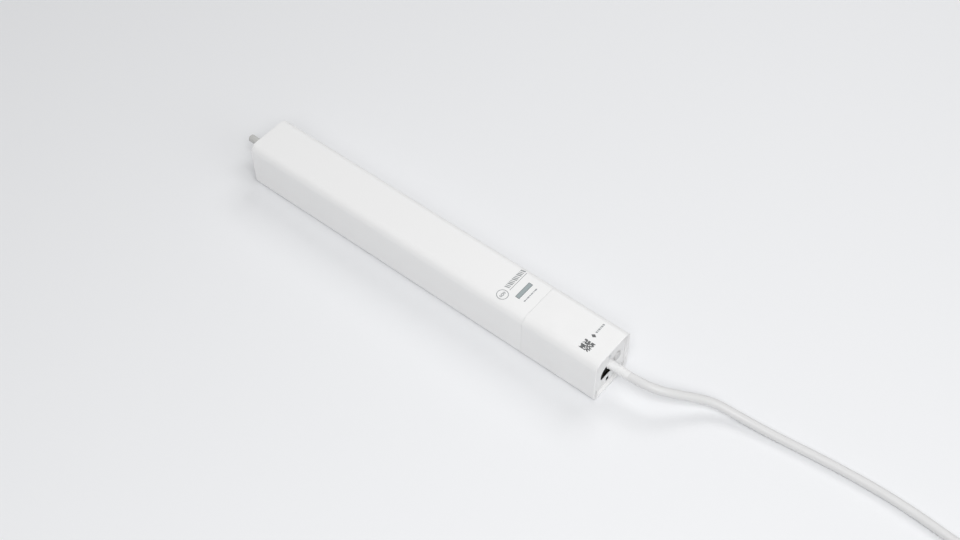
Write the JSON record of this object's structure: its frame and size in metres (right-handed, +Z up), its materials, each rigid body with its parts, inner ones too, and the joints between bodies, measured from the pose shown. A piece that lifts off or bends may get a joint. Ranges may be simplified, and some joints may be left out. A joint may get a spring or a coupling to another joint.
{
  "type": "curtain track motor drive",
  "caption": "Slim white square-section motor drive for a curtain track, with a round drive shaft, hook lugs and spring catch at one end and a mains lead with plug at the other.",
  "frame": {"origin": "on the surface that the drive lies on, under the middle of the unit from the drive shaft's tip to the rim of the lead's end", "axes": "+X along the unit towards the lead, +Z up, so the drive shaft points along -X"},
  "size_m": [0.6824, 0.0952, 0.0416],
  "materials": {
    "tube_paint": "smooth white powder coat",
    "white_plastic": "smooth white",
    "pale_plastic": "satin",
    "dark_plastic": "satin black",
    "die_cast": "cast, tumbled",
    "steel": "ground",
    "bronze": "sintered",
    "gear_plastic": "natural",
    "magnet": "dark sintered",
    "bell_plastic": "moulded",
    "damper_rubber": "matte",
    "circuit_board": "solder resist",
    "component": "wound and cased",
    "gold_contacts": "plated",
    "clear_window": "clear",
    "lead_sheath": "smooth white",
    "pin_metal": "nickel plated"
  },
  "bodies": {
    "casing": {"motor_tube": "tube_paint", "rear_housing": "white_plastic", "end_panel": "white_plastic", "service_socket": "dark_plastic", "socket_tongue": "pale_plastic", "socket_contacts": "gold_contacts", "cable_gland": "white_plastic", "light_pipe": "clear_window", "interface_board": "circuit_board", "button_switch": "dark_plastic", "case_screws": "steel", "panel_screws": "steel", "drive_head": "die_cast", "latch_keeper": "steel", "keeper_screws": "steel", "latch_spring": "steel", "front_bearing": "steel", "inner_bush": "bronze", "ring_gear": "steel", "motor_plate": "die_cast", "motor_screws": "steel", "motor_can": "steel", "motor_magnets": "magnet", "motor_end_bell": "bell_plastic", "motor_brushes": "magnet", "hall_board": "circuit_board", "front_damper": "damper_rubber", "rear_damper": "damper_rubber", "board_tray": "pale_plastic", "main_board": "circuit_board", "relays": "dark_plastic", "transformer": "component", "capacitors": "component", "terminal_block": "dark_plastic", "radio_board": "circuit_board", "lead_tail": "lead_sheath", "lead_clamp": "white_plastic", "clamp_screws": "steel", "cord_run": "lead_sheath", "cord_coil": "lead_sheath", "plug_body": "lead_sheath", "plug_pins": "pin_metal"},
    "output": {"drive_shaft": "steel", "shaft_clip": "steel", "output_carrier": "steel", "output_pins": "steel"},
    "inner_stage": {"inner_carrier": "steel", "inner_pins": "steel"},
    "rotor": {"rotor_shaft": "steel", "sun_pinion": "steel", "armature": "steel", "encoder_magnet": "magnet"},
    "button": {"program_button": "white_plastic"},
    "catch": {"latch": "pale_plastic"},
    "output_wheel_1": {"output_planet_1": "gear_plastic"},
    "inner_wheel_1": {"inner_planet_1": "gear_plastic"},
    "output_wheel_2": {"output_planet_2": "gear_plastic"},
    "inner_wheel_2": {"inner_planet_2": "gear_plastic"},
    "output_wheel_3": {"output_planet_3": "gear_plastic"},
    "inner_wheel_3": {"inner_planet_3": "gear_plastic"}
  },
  "joints": [
    {"name": "rotor_spin", "type": "hinge", "parent": "casing", "child": "rotor", "pos_m": [-0.08, 0, 0.0208], "axis": [1, 0, 0], "continuous": true},
    {"name": "inner_stage_spin", "type": "hinge", "parent": "casing", "child": "inner_stage", "pos_m": [-0.121, 0, 0.0208], "axis": [1, 0, 0], "continuous": true},
    {"name": "output_spin", "type": "hinge", "parent": "casing", "child": "output", "pos_m": [-0.15, 0, 0.0208], "axis": [1, 0, 0], "continuous": true},
    {"name": "inner_wheel_1_spin", "type": "hinge", "parent": "inner_stage", "child": "inner_wheel_1", "pos_m": [-0.1159, 0.00945, 0.0208], "axis": [1, 0, 0], "continuous": true},
    {"name": "inner_wheel_2_spin", "type": "hinge", "parent": "inner_stage", "child": "inner_wheel_2", "pos_m": [-0.1159, -0.00473, 0.02898], "axis": [1, 0, 0], "continuous": true},
    {"name": "inner_wheel_3_spin", "type": "hinge", "parent": "inner_stage", "child": "inner_wheel_3", "pos_m": [-0.1159, -0.00473, 0.01262], "axis": [1, 0, 0], "continuous": true},
    {"name": "output_wheel_1_spin", "type": "hinge", "parent": "output", "child": "output_wheel_1", "pos_m": [-0.1274, 0.00945, 0.0208], "axis": [1, 0, 0], "continuous": true},
    {"name": "output_wheel_2_spin", "type": "hinge", "parent": "output", "child": "output_wheel_2", "pos_m": [-0.1274, -0.00473, 0.02898], "axis": [1, 0, 0], "continuous": true},
    {"name": "output_wheel_3_spin", "type": "hinge", "parent": "output", "child": "output_wheel_3", "pos_m": [-0.1274, -0.00473, 0.01262], "axis": [1, 0, 0], "continuous": true},
    {"name": "button_press", "type": "slide", "parent": "casing", "child": "button", "axis": [-1, 0, 0], "range_m": [0, 0.0008], "stiffness_N_per_m": 600, "springref_m": -0.001},
    {"name": "catch_slide", "type": "slide", "parent": "casing", "child": "catch", "axis": [0, 0, -1], "range_m": [0, 0.0022], "stiffness_N_per_m": 500, "springref_m": -0.001, "deforming": ["latch_spring"]}
  ],
  "couplings": [
    {"joint": "inner_stage_spin", "follows": "rotor_spin", "ratio": 0.22222},
    {"joint": "output_spin", "follows": "rotor_spin", "ratio": 0.049383},
    {"joint": "inner_wheel_1_spin", "follows": "rotor_spin", "ratio": -0.62222},
    {"joint": "inner_wheel_2_spin", "follows": "rotor_spin", "ratio": -0.62222},
    {"joint": "inner_wheel_3_spin", "follows": "rotor_spin", "ratio": -0.62222},
    {"joint": "output_wheel_1_spin", "follows": "rotor_spin", "ratio": -0.13827},
    {"joint": "output_wheel_2_spin", "follows": "rotor_spin", "ratio": -0.13827},
    {"joint": "output_wheel_3_spin", "follows": "rotor_spin", "ratio": -0.13827}
  ]
}
